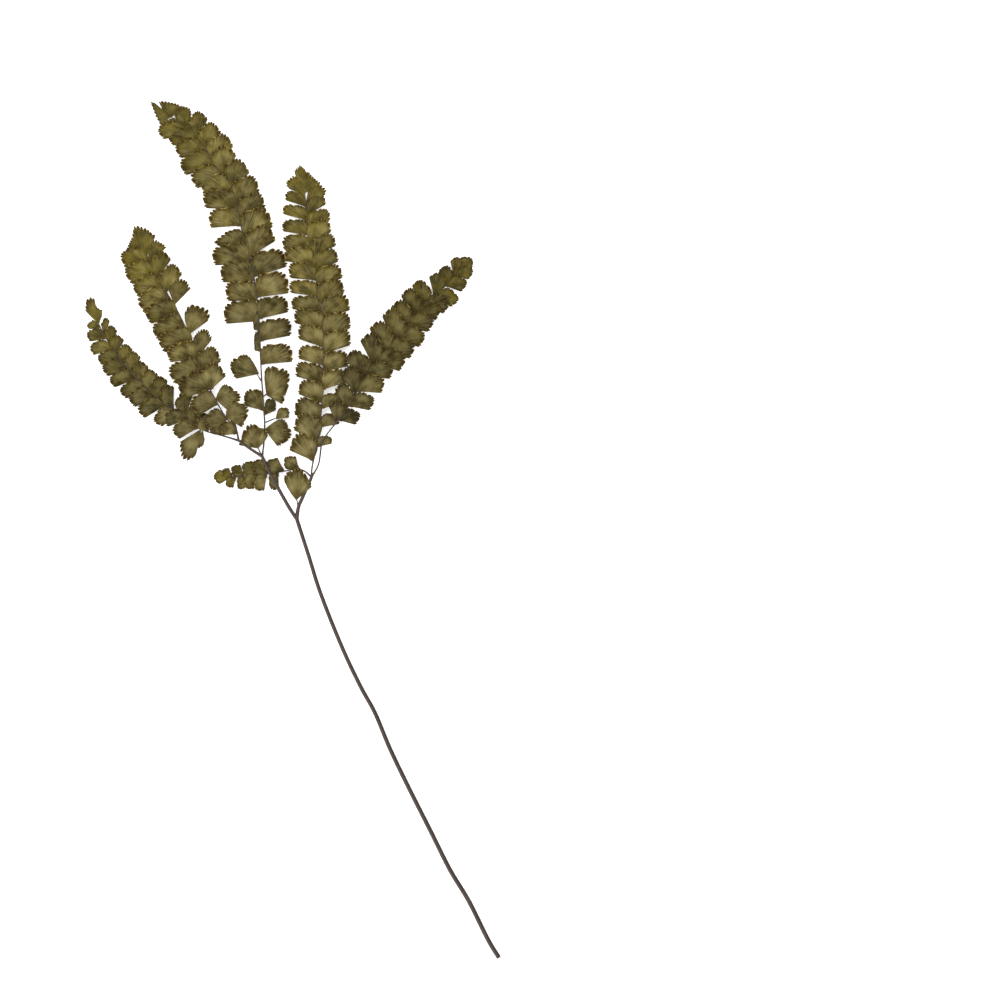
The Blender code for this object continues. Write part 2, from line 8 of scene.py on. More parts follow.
import bpy
import numpy as np
from mathutils import Matrix, Vector


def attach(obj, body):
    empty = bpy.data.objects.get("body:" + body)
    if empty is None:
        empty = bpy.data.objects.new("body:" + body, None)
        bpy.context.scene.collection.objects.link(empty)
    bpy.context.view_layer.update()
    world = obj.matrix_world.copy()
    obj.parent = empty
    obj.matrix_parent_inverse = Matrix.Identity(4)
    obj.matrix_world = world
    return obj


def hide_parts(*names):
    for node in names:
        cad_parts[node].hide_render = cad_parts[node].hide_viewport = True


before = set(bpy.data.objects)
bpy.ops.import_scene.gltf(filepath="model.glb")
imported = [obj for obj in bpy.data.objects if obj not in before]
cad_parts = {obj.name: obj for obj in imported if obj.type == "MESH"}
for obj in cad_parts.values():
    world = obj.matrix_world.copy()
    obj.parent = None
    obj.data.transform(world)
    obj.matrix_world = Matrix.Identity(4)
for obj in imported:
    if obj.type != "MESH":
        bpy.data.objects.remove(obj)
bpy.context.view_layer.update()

# Camera. It looks straight down from three metres with a long lens, as a copy stand does. One pixel of the
# 1000 x 1000 frame is 0.56 mm at the blades, and the frame's middle lies to the right of the frond.
FRAME_WIDTH = 0.56
DISTANCE = 3.0
EYE = (0.11605, 0.01673, 3.003)
SENSOR = 36.0
bpy.ops.object.camera_add(location=EYE, rotation=(0, 0, 0))
camera = bpy.context.object
camera.data.sensor_width = SENSOR
camera.data.lens = SENSOR * DISTANCE / FRAME_WIDTH
bpy.context.scene.camera = camera

# Stipe. The frond's own stalk is hard and wiry, thicker than a match at its cut end, and it forks into two
# arms. The left arm gives off one more twig. It grew in one piece, and dries to a dark brown with a polish.
# Places are counted from a spot beside the fork, and MIDDLE is where the frame's origin lies from there.
MM = 0.001
MIDDLE = Vector((0.425, 0.066, 0.0))
ROUTE_STEPS = 8
LEVEL_GAPS = 3
WELD = 0.000001
STEM_SHARP = math.radians(50)
STIPE_RADIUS, FORK_RADIUS = 1.3, 1.12
LEFT_RADIUS, TWIG_RADIUS, RIGHT_RADIUS = 0.9, 0.7, 0.85
THICK_ROUND, THIN_ROUND = 5, 3
STIPE = [
    (115.9, -239.7, 1.3), (109.5, -229.0, 1.3), (99.0, -207.9, 1.3), (88.4, -190.3, 1.3),
    (77.8, -169.1, 1.45), (65.5, -144.7, 1.8), (54.9, -122.6, 2.4), (46.5, -102.5, 3.0), (38.4, -87.6, 3.5),
    (28.0, -65.5, 4.3), (16.2, -35.8, 5.4), (9.5, -14.6, 6.1), (2.8, 6.2, 6.6),
]
LEFT_ARM = [(2.8, 6.2, 6.6), (-1.1, 12.0, 6.7), (-6.7, 21.8, 6.9), (-12.3, 31.9, 7.0), (-16.5, 41.2, 7.0)]
LEFT_TWIG = [(-16.5, 41.2, 7.0), (-22.4, 44.9, 7.0), (-29.7, 50.0, 7.0)]
RIGHT_ARM = [(2.8, 6.2, 6.6), (3.8, 12.9, 6.8), (6.2, 18.5, 7.0), (9.2, 25.2, 7.2), (11.2, 29.7, 7.4)]


def placed(point):
    """A given place, counted from the frame's origin."""
    return Vector(point) - MIDDLE


def smooth_route(points):
    """A smooth curve through given points."""
    points = [placed(point) for point in points]
    padded = [2 * points[0] - points[1], *points, 2 * points[-1] - points[-2]]
    route = []
    for before, start, end, after in zip(padded, padded[1:], padded[2:], padded[3:]):
        for step in range(ROUTE_STEPS):
            t = step / ROUTE_STEPS
            linear = (end - before) * t
            square = (2 * before - 5 * start + 4 * end - after) * t**2
            cube = (3 * start - before - 3 * end + after) * t**3
            route.append((2 * start + linear + square + cube) / 2)
    route.append(points[-1])
    return route


def linear(code):
    """An sRGB hex colour as linear numbers."""
    parts = [int(code[place : place + 2], 16) / 255 for place in (1, 3, 5)]
    return (*(part / 12.92 if part <= 0.04045 else ((part + 0.055) / 1.055) ** 2.4 for part in parts), 1)


def add(tree, kind, settings=None, links=None):
    """Adds a node. Links give each of its inputs a value, or the output that feeds it."""
    made = tree.nodes.new(kind)
    for key, value in (settings or {}).items():
        setattr(made, key, value)
    for key, value in (links or {}).items():
        if isinstance(value, bpy.types.NodeSocket):
            tree.links.new(value, made.inputs[key])
        else:
            made.inputs[key].default_value = value
    return made


def wires(name, runs, resolution):
    """Round stems as one mesh. A run is a route and the radius at each of its points."""
    curve = bpy.data.curves.new(name, "CURVE")
    curve.dimensions = "3D"
    curve.bevel_depth = MM
    curve.bevel_resolution = resolution
    curve.use_fill_caps = True
    for route, radii in runs:
        spline = curve.splines.new("POLY")
        spline.points.add(len(route) - 1)
        for point, place, radius in zip(spline.points, route, radii):
            point.co = (*(place * MM), 1)
            point.radius = radius
    piece = bpy.data.objects.new(name, curve)
    bpy.context.scene.collection.objects.link(piece)
    bpy.ops.object.select_all(action="DESELECT")
    piece.select_set(True)
    bpy.context.view_layer.objects.active = piece
    bpy.ops.object.convert(target="MESH")
    bpy.ops.object.mode_set(mode="EDIT")
    bpy.ops.mesh.select_all(action="SELECT")
    bpy.ops.mesh.remove_doubles(threshold=WELD)
    bpy.ops.mesh.normals_make_consistent(inside=False)
    bpy.ops.object.mode_set(mode="OBJECT")
    bpy.ops.object.shade_smooth_by_angle(angle=STEM_SHARP)
    return piece


def taper(route, start, end, even=0):
    """The radius at each point of a route: even for its first points, then narrower to the end."""
    count = len(route) - 1
    return [start + (end - start) * max(0, index - even) / (count - even) for index in range(count + 1)]


stipe_route, left_route, twig_route, right_route = map(smooth_route, (STIPE, LEFT_ARM, LEFT_TWIG, RIGHT_ARM))
stipe = wires(
    "stipe",
    [
        (stipe_route, taper(stipe_route, STIPE_RADIUS, FORK_RADIUS, LEVEL_GAPS * ROUTE_STEPS)),
        (left_route, taper(left_route, FORK_RADIUS, LEFT_RADIUS)),
        (twig_route, taper(twig_route, LEFT_RADIUS, TWIG_RADIUS)),
        (right_route, taper(right_route, FORK_RADIUS, RIGHT_RADIUS)),
    ],
    THICK_ROUND,
)

# Dried fern stipe, as it grew: a hard skin like horsehair, nearly black, with fine lengthwise wrinkles 0.3 mm
# apart that drying left. One grey streak along its upper left side is a painted highlight, the lamp's glint
# on the polish.
polished = bpy.data.materials.new("polished_fern_stipe")
polished.use_nodes = True
tree = polished.node_tree
shader = tree.nodes["Principled BSDF"]
around = add(tree, "ShaderNodeUVMap", {"uv_map": "UVMap"})
stretched = add(tree, "ShaderNodeMapping", None, {"Vector": around.outputs["UV"], "Scale": (14, 60, 1)})
wrinkles = add(tree, "ShaderNodeTexNoise", None,
               {"Vector": stretched.outputs["Vector"], "Scale": 1.0, "Detail": 3})
place = add(tree, "ShaderNodeTexCoord")
patches = add(tree, "ShaderNodeTexNoise", None, {"Vector": place.outputs["Object"], "Scale": 90, "Detail": 2})
worn = add(tree, "ShaderNodeMapRange", None, {0: patches.outputs["Fac"], 1: 0.42, 2: 0.66})
skin = add(tree, "ShaderNodeMix", {"data_type": "RGBA"},
           {0: worn.outputs[0], 6: linear("#19110e"), 7: linear("#2e211b")})
lines = add(tree, "ShaderNodeMapRange", None, {0: wrinkles.outputs["Fac"], 1: 0.5, 2: 0.8})
skin = add(tree, "ShaderNodeMix", {"data_type": "RGBA"},
           {0: lines.outputs[0], 6: skin.outputs[2], 7: linear("#4a3d36")})
turn = add(tree, "ShaderNodeSeparateXYZ", None, {0: around.outputs["UV"]}).outputs["Y"]
# Painted highlight: a grey streak round one side of each stem, standing in for the lamp's glint on its
# polish.
highlight_start = add(tree, "ShaderNodeMapRange", {"interpolation_type": "SMOOTHSTEP"}, {0: turn, 1: 0.0, 2: 0.1})
highlight_end = add(tree, "ShaderNodeMapRange", {"interpolation_type": "SMOOTHSTEP"}, {0: turn, 1: 0.25, 2: 0.13})
painted_highlight = add(tree, "ShaderNodeMath", {"operation": "MULTIPLY"},
            {0: highlight_start.outputs[0], 1: highlight_end.outputs[0]})
painted_highlight = add(tree, "ShaderNodeMath", {"operation": "MULTIPLY"}, {0: painted_highlight.outputs[0], 1: 0.55})
skin = add(tree, "ShaderNodeMix", {"data_type": "RGBA"},
           {0: painted_highlight.outputs[0], 6: skin.outputs[2], 7: linear("#564a44")})
tree.links.new(skin.outputs[2], shader.inputs["Base Color"])
relief = add(tree, "ShaderNodeBump", None,
             {"Strength": 0.5, "Distance": 0.00012, "Height": wrinkles.outputs["Fac"]})
tree.links.new(relief.outputs["Normal"], shader.inputs["Normal"])
shader.inputs["Roughness"].default_value = 0.32
shader.inputs["IOR"].default_value = 1.45
shader.inputs["Specular IOR Level"].default_value = 0.22
stipe.data.materials.append(polished)
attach(stipe, "root")
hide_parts("stalk")

# Leaflet blade. Each leaflet is a lopsided fan of thin leaf: two straight edges meet at its stalk, and its
# outer edge is cut in rounded lobes whose lips roll under over the spore patches. A grid pinched to a fan
# gives one, in three patterns, and each leaflet is a copy laid out between its own two straight edges.
LOBE_COLUMNS = 6
ROWS = 8
PINCH = 1.5
RIM_START, RIM_END = math.radians(-47), math.radians(184)
RIM_MIDDLE = (0.42, 0.4)
RIM_OUTER, RIM_INNER = 0.58, 0.46
RIM_UPPER, RIM_LOWER = 0.6, 0.4
LOWER_ROUND, UPPER_ROUND = 0.42, 0.6
LOBE_DEPTH, TOOTH_DEPTH = 0.13, 0.035
CROWN, WAVE, RIPPLE = 1.5, 0.24, 0.16
LIP_START, LIP_WIDTH = 0.84, 0.16


def swell(turns):
    """A sine wave, one whole turn for each step of one."""
    return np.sin(2 * math.pi * turns)


def fan_pattern(name, lobes, shift):
    """A fan with its points in shares p and q of the two straight edges, and heights for one of full size."""
    bpy.ops.object.select_all(action="DESELECT")
    bpy.ops.mesh.primitive_grid_add(x_subdivisions=lobes * LOBE_COLUMNS, y_subdivisions=ROWS, size=1,
                                    calc_uvs=True)
    grid = bpy.context.object
    grid.name = name
    bpy.ops.object.mode_set(mode="EDIT")
    bpy.ops.mesh.select_mode(type="VERT")
    bpy.ops.mesh.select_all(action="DESELECT")
    bpy.ops.object.mode_set(mode="OBJECT")
    for vertex in grid.data.vertices:
        vertex.select = vertex.co.y < -0.49  # the lowest row, which closes to the leaflet's root
    bpy.ops.object.mode_set(mode="EDIT")
    bpy.ops.mesh.merge(type="CENTER")
    bpy.ops.object.mode_set(mode="OBJECT")
    uvs = grid.data.uv_layers[0].data
    for corner in uvs:
        corner.uv.y = 1 - (1 - corner.uv.y) ** PINCH
    points = np.array([vertex.co[:2] for vertex in grid.data.vertices]) + 0.5
    along, out = points[:, 0], 1 - np.clip(1 - points[:, 1], 0, 1) ** PINCH
    # Each wave has a frequency of its own, so that lobes and folds differ round one leaflet.
    lobe = np.abs(np.sin(math.pi * lobes * along)) ** 0.7
    teeth = np.abs(np.sin(math.pi * (2 * lobes * along + 0.2)))
    ends = np.clip(np.minimum(along, 1 - along) * lobes * 1.1, 0, 1)
    deep = LOBE_DEPTH + 0.05 * swell(2.3 * along + shift)
    cut = (deep * (1 - lobe) + TOOTH_DEPTH * (1 - teeth)) * ends
    uneven = 0.016 * swell(2 * along + shift) + 0.012 * swell(3.6 * along + 2 * shift)
    turn = RIM_START + (RIM_END - RIM_START) * (along + np.sin(math.pi * along) * uneven)
    round_off = np.where(turn < 0, LOWER_ROUND, UPPER_ROUND)
    across, up = (np.copysign(np.abs(part) ** round_off, part) for part in (np.cos(turn), np.sin(turn)))
    reach = (1 - cut) * (1 + 0.03 * swell(1.5 * along + shift))
    rim_p = RIM_MIDDLE[0] + reach * across * np.where(across > 0, RIM_OUTER, RIM_INNER)
    rim_q = RIM_MIDDLE[1] + reach * up * np.where(up > 0, RIM_UPPER, RIM_LOWER)
    wave = WAVE * out * swell(2.6 * along + shift) + RIPPLE * out**2 * swell(5.2 * along + 2 * shift)
    lip = np.clip((out - LIP_START) / LIP_WIDTH, 0, 1) ** 2 * (0.15 + 0.4 * lobe) * np.clip(8 * along, 0, 1)
    height = CROWN * out * (1 - out) + wave - lip
    mark = grid.data.attributes.new("lobe", "FLOAT", "POINT")
    mark.data.foreach_set("value", (lobe * ends).astype(np.float32))
    return {"object": grid, "p": rim_p * out, "q": rim_q * out, "height": height,
            "along": along, "out": out, "cut": cut}


patterns = [
    fan_pattern(f"fan_{lobes}_{shift}", lobes, shift) for lobes, shift in ((11, 0.1), (10, 0.45), (12, 0.8))
]

# One leaflet from its root: edge and other are its straight edges as vectors. Whatever the angle between
# them, its far corner lies as far out as if they met at a right angle. Its upper edge is tilted up, it falls
# away from the rachis, and it dips beside the rachis so that this stays in sight.
BLADE = 0.24
FULL_SIZE = 26
DIP = 0.5
DIP_START, DIP_WIDTH = -0.04, 0.3
DRAWN_CUT = 0.7
LIFT = 0.3
LOWEST = 0.16


def lay_leaflet(name, pattern, root, edge, other, tilt, drop, twist, tone, youth):
    p, q = pattern["p"], pattern["q"]
    size = min(1.0, (edge.length + other.length) / FULL_SIZE)
    crown = math.hypot(edge.length, other.length) - (edge + other).length
    crown = (edge.normalized() + other.normalized()).normalized() * crown
    clear = np.clip((p - DIP_START) / DIP_WIDTH, 0, 1)
    rise = pattern["height"] * size * clear + q * other.length * math.tan(tilt) * clear - DIP * (1 - clear)
    rise += twist * p * (q - 0.5) - drop * p**2
    spots = np.outer(p, edge) + np.outer(q, other) + np.outer(p * q, crown) + np.array(root)
    spots[:, 2] += rise
    return place_leaflet(name, pattern, spots, edge.cross(other).z > 0, tone, youth)


def draw_leaflet(name, pattern, root, drawn, tone, youth):
    """A leaflet with an outline of its own: the pattern fans out from the root to the listed rim."""
    rim = np.array([placed((*point, 0))[:] for point in drawn["rim"]])
    gone = np.concatenate([[0], np.cumsum(np.linalg.norm(np.diff(rim, axis=0), axis=1))])
    share = pattern["along"] * gone[-1]
    reach = pattern["out"] * (1 - DRAWN_CUT * pattern["cut"])
    spots = np.array(root) * np.ones((len(share), 1))
    for axis in (0, 1):
        spots[:, axis] += reach * (np.interp(share, gone, rim[:, axis]) - root[axis])
    size = min(1.0, gone[-1] / FULL_SIZE)
    spots[:, 2] += pattern["height"] * size + reach * (drawn["lift"] * pattern["along"] - drawn["drop"])
    first, last = Vector(rim[0]) - root, Vector(rim[-1]) - root
    return place_leaflet(name, pattern, spots, first.cross(last).z > 0, tone, youth)


def place_leaflet(name, pattern, spots, turned, tone, youth):
    """A copy of the pattern with its points at these spots, marked with its own tone and youth."""
    leaflet = bpy.data.objects.new(name, pattern["object"].data.copy())
    bpy.context.scene.collection.objects.link(leaflet)
    spots[:, 2] = np.maximum(spots[:, 2] + LIFT, LOWEST)
    leaflet.data.vertices.foreach_set("co", (spots * MM).astype(np.float32).ravel())
    for key, value in (("tone", tone), ("youth", youth)):
        mark = leaflet.data.attributes.new(key, "FLOAT", "POINT")
        mark.data.foreach_set("value", np.full(len(spots), value, np.float32))
    if turned:
        leaflet.data.flip_normals()
    return leaflet


def bearing(degrees, length):
    """A flat vector with this direction, counted from +X."""
    angle = math.radians(degrees)
    return Vector((math.cos(angle), math.sin(angle), 0)) * length


# Leaf, pressed and dried: it keeps an olive green that has gone brown, greener near the tips, with a painted
# grey sheen across the belly of each leaflet. Fine veins fork from the root to the rim, 0.6 to 0.9 mm apart
# there, some paler than others. Under each lobe's lip lies a dark spore patch, and the lip itself is straw
# yellow.
dried_leaf = bpy.data.materials.new("dried_fern_leaf")
dried_leaf.use_nodes = True
tree = dried_leaf.node_tree
shader = tree.nodes["Principled BSDF"]
place = add(tree, "ShaderNodeTexCoord")
fan_map = add(tree, "ShaderNodeUVMap", {"uv_map": "UVMap"})
split = add(tree, "ShaderNodeSeparateXYZ", None, {0: fan_map.outputs["UV"]})
along, out = split.outputs["X"], split.outputs["Y"]
crumbs = add(tree, "ShaderNodeTexNoise", None, {"Vector": place.outputs["Object"], "Scale": 620, "Detail": 2})
ragged = add(tree, "ShaderNodeMath", {"operation": "MULTIPLY_ADD"},
             {0: crumbs.outputs["Fac"], 1: 0.3, 2: out})
ragged = add(tree, "ShaderNodeMath", {"operation": "SUBTRACT"}, {0: ragged.outputs[0], 1: 0.15})
crumb = add(tree, "ShaderNodeMapRange", None, {0: crumbs.outputs["Fac"], 1: 0.36, 2: 0.56})
lobe = add(tree, "ShaderNodeAttribute", {"attribute_name": "lobe"}).outputs["Fac"]
tone = add(tree, "ShaderNodeAttribute", {"attribute_name": "tone"}).outputs["Fac"]
youth = add(tree, "ShaderNodeAttribute", {"attribute_name": "youth"}).outputs["Fac"]
wander = add(tree, "ShaderNodeTexNoise", None, {"Vector": place.outputs["Object"], "Scale": 500, "Detail": 1})
bend = add(tree, "ShaderNodeMath", {"operation": "MULTIPLY_ADD"},
           {0: wander.outputs["Fac"], 1: 0.02, 2: along})
veins = None
for count, first, last in ((11, -0.1, 0.0), (22, 0.2, 0.34), (44, 0.5, 0.66)):
    swing = add(tree, "ShaderNodeMath", {"operation": "MULTIPLY"},
                {0: bend.outputs[0], 1: 2 * math.pi * count})
    ridge = add(tree, "ShaderNodeMath", {"operation": "COSINE"}, {0: swing.outputs[0]})
    ridge = add(tree, "ShaderNodeMapRange", None, {0: ridge.outputs[0], 1: 0.1, 2: 1.0})
    shown = add(tree, "ShaderNodeMapRange", None, {0: out, 1: first, 2: last})
    ridge = add(tree, "ShaderNodeMath", {"operation": "MULTIPLY"}, {0: ridge.outputs[0], 1: shown.outputs[0]})
    if veins:
        ridge = add(tree, "ShaderNodeMath", {"operation": "MAXIMUM"},
                    {0: ridge.outputs[0], 1: veins.outputs[0]})
    veins = ridge
own = add(tree, "ShaderNodeMath", {"operation": "MULTIPLY"}, {0: tone, 1: 300})
fibre_map = add(tree, "ShaderNodeCombineXYZ", None, {0: along, 1: out, 2: own.outputs[0]})
fibre_map = add(tree, "ShaderNodeMapping", None, {"Vector": fibre_map.outputs[0], "Scale": (36, 2.0, 1)})
fibres = add(tree, "ShaderNodeTexNoise", None, {"Vector": fibre_map.outputs[0], "Scale": 1, "Detail": 2})
fibre = add(tree, "ShaderNodeMapRange", None, {0: fibres.outputs["Fac"], 1: 0.42, 2: 0.66})
cloud = add(tree, "ShaderNodeTexNoise", None, {"Vector": place.outputs["Object"], "Scale": 160, "Detail": 4})
mottle = add(tree, "ShaderNodeMapRange", None, {0: cloud.outputs["Fac"], 1: 0.35, 2: 0.68})
leaf = add(tree, "ShaderNodeMix", {"data_type": "RGBA"},
           {0: mottle.outputs[0], 6: linear("#322909"), 7: linear("#4a3f17")})
# Painted sheen: a grey band across the belly of each leaflet, where the light would glance off it.
sheen_start = add(tree, "ShaderNodeMapRange", {"interpolation_type": "SMOOTHSTEP"}, {0: out, 1: 0.12, 2: 0.5})
sheen_end = add(tree, "ShaderNodeMapRange", {"interpolation_type": "SMOOTHSTEP"}, {0: out, 1: 0.92, 2: 0.66})
painted_sheen = add(tree, "ShaderNodeMath", {"operation": "MULTIPLY"},
            {0: sheen_start.outputs[0], 1: sheen_end.outputs[0]})
painted_sheen = add(tree, "ShaderNodeMath", {"operation": "MULTIPLY"}, {0: painted_sheen.outputs[0], 1: mottle.outputs[0]})
leaf = add(tree, "ShaderNodeMix", {"data_type": "RGBA"},
           {0: painted_sheen.outputs[0], 6: leaf.outputs[2], 7: linear("#70663f")})
fresh = add(tree, "ShaderNodeMath", {"operation": "MULTIPLY", "use_clamp": True}, {0: youth, 1: 0.78})
young = add(tree, "ShaderNodeMix", {"data_type": "RGBA"},
            {0: mottle.outputs[0], 6: linear("#3a3203"), 7: linear("#64580a")})
leaf = add(tree, "ShaderNodeMix", {"data_type": "RGBA"},
           {0: fresh.outputs[0], 6: leaf.outputs[2], 7: young.outputs[2]})
pale_veins = add(tree, "ShaderNodeMath", {"operation": "MULTIPLY_ADD"},
                 {0: veins.outputs[0], 1: 0.6, 2: 0.35})
pale_veins = add(tree, "ShaderNodeMath", {"operation": "MULTIPLY"},
                 {0: pale_veins.outputs[0], 1: fibre.outputs[0]})
pale_veins = add(tree, "ShaderNodeMath", {"operation": "MULTIPLY"}, {0: pale_veins.outputs[0], 1: 0.36})
leaf = add(tree, "ShaderNodeMix", {"data_type": "RGBA"},
           {0: pale_veins.outputs[0], 6: leaf.outputs[2], 7: linear("#8f8763")})
margin = add(tree, "ShaderNodeMapRange", {"interpolation_type": "SMOOTHSTEP"},
             {0: ragged.outputs[0], 1: 0.78, 2: 0.94})
margin = add(tree, "ShaderNodeMath", {"operation": "MULTIPLY"}, {0: margin.outputs[0], 1: 0.4})
leaf = add(tree, "ShaderNodeMix", {"data_type": "RGBA"},
           {0: margin.outputs[0], 6: leaf.outputs[2], 7: linear("#392c0b")})
spot_in = add(tree, "ShaderNodeMapRange", None, {0: out, 1: 0.85, 2: 0.89})
spot_out = add(tree, "ShaderNodeMapRange", None, {0: out, 1: 0.98, 2: 0.95})
spot_wide = add(tree, "ShaderNodeMapRange", None, {0: lobe, 1: 0.7, 2: 0.9})
spot = add(tree, "ShaderNodeMath", {"operation": "MULTIPLY"}, {0: spot_in.outputs[0], 1: spot_out.outputs[0]})
spot = add(tree, "ShaderNodeMath", {"operation": "MULTIPLY"}, {0: spot.outputs[0], 1: spot_wide.outputs[0]})
spot_cover = add(tree, "ShaderNodeMath", {"operation": "MULTIPLY"}, {0: spot.outputs[0], 1: crumb.outputs[0]})
leaf = add(tree, "ShaderNodeMix", {"data_type": "RGBA"},
           {0: spot_cover.outputs[0], 6: leaf.outputs[2], 7: linear("#2d1c08")})
lip = add(tree, "ShaderNodeMapRange", None, {0: out, 1: 0.95, 2: 0.98})
lip = add(tree, "ShaderNodeMath", {"operation": "MULTIPLY"}, {0: lip.outputs[0], 1: crumb.outputs[0]})
notch = add(tree, "ShaderNodeMapRange", None, {0: lobe, 1: 0.9, 2: 0.4})
lip = add(tree, "ShaderNodeMath", {"operation": "MULTIPLY"}, {0: lip.outputs[0], 1: notch.outputs[0]})
leaf = add(tree, "ShaderNodeMix", {"data_type": "RGBA"},
           {0: lip.outputs[0], 6: leaf.outputs[2], 7: linear("#8c7a3a")})
shade = add(tree, "ShaderNodeMath", {"operation": "ADD"}, {0: tone, 1: 1.0})
leaf = add(tree, "ShaderNodeMix", {"data_type": "RGBA", "blend_type": "MULTIPLY"},
           {0: 1.0, 6: leaf.outputs[2], 7: shade.outputs[0]})
tree.links.new(leaf.outputs[2], shader.inputs["Base Color"])
grain = add(tree, "ShaderNodeTexNoise", None, {"Vector": place.outputs["Object"], "Scale": 1400, "Detail": 3})
height = add(tree, "ShaderNodeMath", {"operation": "MULTIPLY_ADD"},
             {0: grain.outputs["Fac"], 1: 0.5, 2: veins.outputs[0]})
relief = add(tree, "ShaderNodeBump", None,
             {"Strength": 0.8, "Distance": 0.00012, "Height": height.outputs[0]})
tree.links.new(relief.outputs["Normal"], shader.inputs["Normal"])
shader.inputs["Roughness"].default_value = 0.62
shader.inputs["IOR"].default_value = 1.4
shader.inputs["Specular IOR Level"].default_value = 0.08

